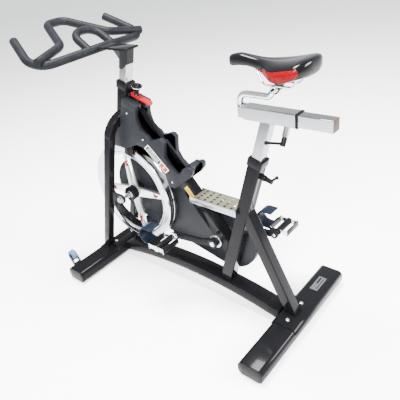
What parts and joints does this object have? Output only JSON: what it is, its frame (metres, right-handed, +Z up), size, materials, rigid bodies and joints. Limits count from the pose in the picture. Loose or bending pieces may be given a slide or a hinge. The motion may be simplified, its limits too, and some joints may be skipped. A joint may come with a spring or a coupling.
{
  "type": "exercise bike",
  "caption": "Indoor training bike: belt-driven heavy wheel in a fork, raked frame on two cross feet, sliding saddle, bent handlebar and toe-clip pedals.",
  "frame": {"origin": "on the floor under the middle of the whole bike", "axes": "+X forward, towards the wheel; +Y the rider's left; +Z up"},
  "size_m": [1.2725, 0.636, 1.1255],
  "materials": {
    "frame_paint": "glossy black enamel",
    "silver_tube": "satin silver tube",
    "chrome": "polished plating",
    "spoke_metal": "satin silver casting",
    "steel": "turned steel",
    "grey_plastic": "moulded grey plastic",
    "black_plastic": "moulded black plastic",
    "guard_plastic": "moulded dark plastic",
    "rubber": "moulded rubber",
    "foam_coat": "dipped foam grip",
    "clip_plastic": "moulded blue-grey plastic",
    "red_plastic": "moulded red plastic",
    "plate_metal": "punched plate",
    "saddle_skin": "glossy saddle cover",
    "felt": "pressed felt and leather",
    "roller_plastic": "moulded blue plastic"
  },
  "bodies": {
    "frame": {"rear_foot": "frame_paint", "front_foot": "frame_paint", "foot_caps": "black_plastic", "foot_pads": "rubber", "base_rail": "frame_paint", "foot_plates": "frame_paint", "foot_bolts": "steel", "fork_legs": "frame_paint", "fork_arch": "frame_paint", "head_tube": "frame_paint", "down_tube": "frame_paint", "seat_tube": "frame_paint", "post_bushes": "black_plastic", "rear_stay": "frame_paint", "bottom_bracket": "steel", "bearings": "steel", "tread_plate": "plate_metal", "cover_screws": "steel", "shroud_left": "grey_plastic", "shroud_right": "grey_plastic", "bottle_holder": "grey_plastic", "belt_guard_inner": "guard_plastic", "belt_guard_outer": "guard_plastic", "axle_brackets": "frame_paint", "wheel_axle": "steel", "axle_nuts": "steel", "drive_belt": "rubber", "welded_bosses": "frame_paint"},
    "flywheel": {"wheel_rim": "chrome", "wheel_spider": "spoke_metal", "hub_pulley": "steel", "spoke_clips": "red_plastic"},
    "crankset": {"crank_axle": "steel", "drive_pulley": "steel", "left_crank": "frame_paint", "right_crank": "frame_paint", "pedal_spindles": "steel"},
    "left_pedal_body": {"left_pedal": "black_plastic", "left_toe_clip": "clip_plastic"},
    "right_pedal_body": {"right_pedal": "black_plastic", "right_toe_clip": "clip_plastic"},
    "handlebar_body": {"handlebar_post": "silver_tube", "handlebar_mount": "frame_paint", "handlebar": "foam_coat"},
    "seat_post_body": {"seat_post": "silver_tube", "slider_sleeve": "silver_tube"},
    "slider_body": {"slider_bar": "silver_tube", "saddle_stem": "chrome", "saddle_clamp": "black_plastic"},
    "saddle_body": {"saddle": "saddle_skin", "saddle_rails": "chrome"},
    "stop_lever_body": {"stop_lever": "red_plastic"},
    "brake_screw_body": {"brake_knob": "black_plastic"},
    "brake_shoe_body": {"brake_shoe": "steel", "brake_pads": "felt"},
    "head_clamp_body": {"head_clamp_lever": "black_plastic"},
    "seat_clamp_body": {"seat_clamp_lever": "black_plastic"},
    "slider_clamp_body": {"slider_clamp_lever": "black_plastic"},
    "left_roller_body": {"left_transport_wheel": "roller_plastic"},
    "right_roller_body": {"right_transport_wheel": "roller_plastic"}
  },
  "joints": [
    {"name": "flywheel_spin", "type": "hinge", "parent": "frame", "child": "flywheel", "pos_m": [0.3046, 0, 0.375], "axis": [0, 1, 0], "continuous": true},
    {"name": "crank_spin", "type": "hinge", "parent": "frame", "child": "crankset", "pos_m": [-0.1874, 0, 0.311], "axis": [0, 1, 0], "continuous": true},
    {"name": "left_pedal_spin", "type": "hinge", "parent": "crankset", "child": "left_pedal_body", "pos_m": [-0.0174, 0.168, 0.311], "axis": [0, 1, 0], "continuous": true},
    {"name": "right_pedal_spin", "type": "hinge", "parent": "crankset", "child": "right_pedal_body", "pos_m": [-0.3574, -0.168, 0.311], "axis": [0, 1, 0], "continuous": true},
    {"name": "handlebar_height", "type": "slide", "parent": "frame", "child": "handlebar_body", "axis": [-0.289, 0, 0.9573], "range_m": [-0.04, 0.07]},
    {"name": "seat_height", "type": "slide", "parent": "frame", "child": "seat_post_body", "axis": [-0.289, 0, 0.9573], "range_m": [-0.1, 0.09]},
    {"name": "saddle_slide", "type": "slide", "parent": "seat_post_body", "child": "slider_body", "axis": [1, 0, 0], "range_m": [0, 0.08]},
    {"name": "saddle_tilt", "type": "hinge", "parent": "slider_body", "child": "saddle_body", "pos_m": [-0.4482, 0, 0.9425], "axis": [0, 1, 0], "range_deg": [-8, 8]},
    {"name": "stop_lever_press", "type": "hinge", "parent": "frame", "child": "stop_lever_body", "pos_m": [0.20646, 0, 0.845], "axis": [0, -1, 0], "range_deg": [0, 6], "stiffness_Nm_per_rad": 3, "springref_deg": -8.59},
    {"name": "brake_knob_turn", "type": "hinge", "parent": "brake_shoe_body", "child": "brake_screw_body", "pos_m": [0.18112, 0, 0.84936], "axis": [-0.289, 0, 0.9573], "range_deg": [0, 720]},
    {"name": "brake_press", "type": "slide", "parent": "frame", "child": "brake_shoe_body", "axis": [0.289, 0, -0.9573], "range_m": [0, 0.0045], "stiffness_N_per_m": 3000, "springref_m": -0.004},
    {"name": "head_clamp_turn", "type": "hinge", "parent": "frame", "child": "head_clamp_body", "pos_m": [0.24394, -0.05, 0.85579], "axis": [0, 1, 0], "range_deg": [-90, 90]},
    {"name": "seat_clamp_turn", "type": "hinge", "parent": "frame", "child": "seat_clamp_body", "pos_m": [-0.35123, 0, 0.62873], "axis": [-0.9573, 0, -0.289], "range_deg": [-90, 90]},
    {"name": "slider_clamp_turn", "type": "hinge", "parent": "seat_post_body", "child": "slider_clamp_body", "pos_m": [-0.4872, 0, 0.8515], "axis": [0, 0.5, -0.866], "range_deg": [-60, 60]},
    {"name": "left_roller_spin", "type": "hinge", "parent": "frame", "child": "left_roller_body", "pos_m": [0.5426, 0.262, 0.085], "axis": [0, 1, 0], "continuous": true},
    {"name": "right_roller_spin", "type": "hinge", "parent": "frame", "child": "right_roller_body", "pos_m": [0.5426, -0.262, 0.085], "axis": [0, 1, 0], "continuous": true}
  ],
  "couplings": [
    {"joint": "crank_spin", "follows": "flywheel_spin", "ratio": 0.30682}
  ]
}
